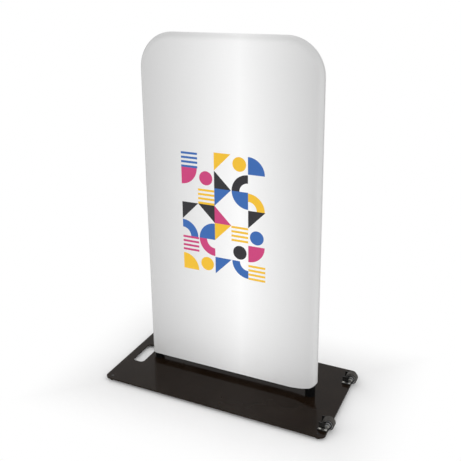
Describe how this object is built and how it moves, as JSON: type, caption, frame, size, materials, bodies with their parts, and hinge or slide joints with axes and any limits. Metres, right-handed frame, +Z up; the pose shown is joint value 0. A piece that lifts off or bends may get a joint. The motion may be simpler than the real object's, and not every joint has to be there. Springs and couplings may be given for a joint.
{
  "type": "sidewalk sign",
  "caption": "Double-sided pavement sign: printed fabric cover on a round-cornered tube frame, on a steel base plate with a hand slot and transport wheels.",
  "frame": {"origin": "centre of the bounding box at floor level, under the rubber feet", "axes": "+Z up, -Y towards the pictured front, +X towards the transport wheels"},
  "size_m": [0.842, 0.398, 1.231],
  "materials": {
    "base_steel": "gloss powder coat, dark brown black",
    "bracket_steel": "satin black powder coat",
    "zinc": "bright zinc plate",
    "foot_rubber": "matt black",
    "tread": "matt mid grey",
    "hub_nylon": "matt black",
    "bush_nylon": "natural grey",
    "tube": "black anodised, satin",
    "connector": "mill finish",
    "cover": "smooth printed polyester, white to pale grey with a coloured motif",
    "zip_tape": "woven tape, off white",
    "zip_metal": "nickel plate"
  },
  "bodies": {
    "base": {"base_plate": "base_steel", "rubber_feet": "foot_rubber", "foot_screws": "bracket_steel", "spigot_left": "base_steel", "spigot_right": "base_steel", "spigot_screws": "zinc", "bracket_front_outer": "bracket_steel", "bracket_front_inner": "bracket_steel", "bracket_rear_inner": "bracket_steel", "bracket_rear_outer": "bracket_steel", "bracket_strips": "zinc", "bracket_screws": "zinc", "axle_bolts": "zinc", "axle_washers": "zinc", "axle_nuts": "zinc", "axle_sleeves": "zinc"},
    "wheel_front": {"wheel_front_tyre": "tread", "wheel_front_hub": "hub_nylon", "wheel_front_bush": "bush_nylon", "wheel_front_rims": "zinc"},
    "wheel_rear": {"wheel_rear_tyre": "tread", "wheel_rear_hub": "hub_nylon", "wheel_rear_bush": "bush_nylon", "wheel_rear_rims": "zinc"},
    "button_left": {"button_left": "zip_metal"},
    "button_right": {"button_right": "zip_metal"},
    "zip_slider": {"zip_slider": "zip_metal"},
    "zip_pull": {"zip_pull": "zip_metal"},
    "sign_frame": {"post_left": "tube", "post_right": "tube", "post_bush_left": "bush_nylon", "post_bush_right": "bush_nylon", "upright_left": "tube", "upright_right": "tube", "bend_left": "tube", "bend_right": "tube", "top_tube": "tube", "bottom_bar": "tube", "bar_welds": "tube", "connector_left": "connector", "connector_right": "connector", "connector_bend_left": "connector", "connector_bend_right": "connector", "connector_top_left": "connector", "connector_top_right": "connector", "connector_rivets": "connector", "button_spring_left": "zip_metal", "button_spring_right": "zip_metal", "cover": "cover", "zip_tapes": "zip_tape", "zip_stops": "zip_metal"}
  },
  "joints": [
    {"name": "sign_lift", "type": "slide", "parent": "base", "child": "sign_frame", "axis": [0, 0, 1], "range_m": [0, 0.12]},
    {"name": "wheel_front_spin", "type": "hinge", "parent": "base", "child": "wheel_front", "pos_m": [0.401, -0.137, 0.0255], "axis": [0, 1, 0], "continuous": true},
    {"name": "wheel_rear_spin", "type": "hinge", "parent": "base", "child": "wheel_rear", "pos_m": [0.401, 0.137, 0.0255], "axis": [0, 1, 0], "continuous": true},
    {"name": "button_left_press", "type": "slide", "parent": "sign_frame", "child": "button_left", "axis": [-1, 0, 0], "range_m": [0, 0.004], "stiffness_N_per_m": 1000, "springref_m": -0.004, "deforming": ["button_spring_left"]},
    {"name": "button_right_press", "type": "slide", "parent": "sign_frame", "child": "button_right", "axis": [1, 0, 0], "range_m": [0, 0.004], "stiffness_N_per_m": 1000, "springref_m": -0.004, "deforming": ["button_spring_right"]},
    {"name": "zip_slide", "type": "slide", "parent": "sign_frame", "child": "zip_slider", "axis": [1, 0, 0], "range_m": [0, 0.396]},
    {"name": "zip_pull_swing", "type": "hinge", "parent": "zip_slider", "child": "zip_pull", "pos_m": [-0.2062, 0, 0.03265], "axis": [0, 1, 0], "range_deg": [-80, 80]}
  ]
}
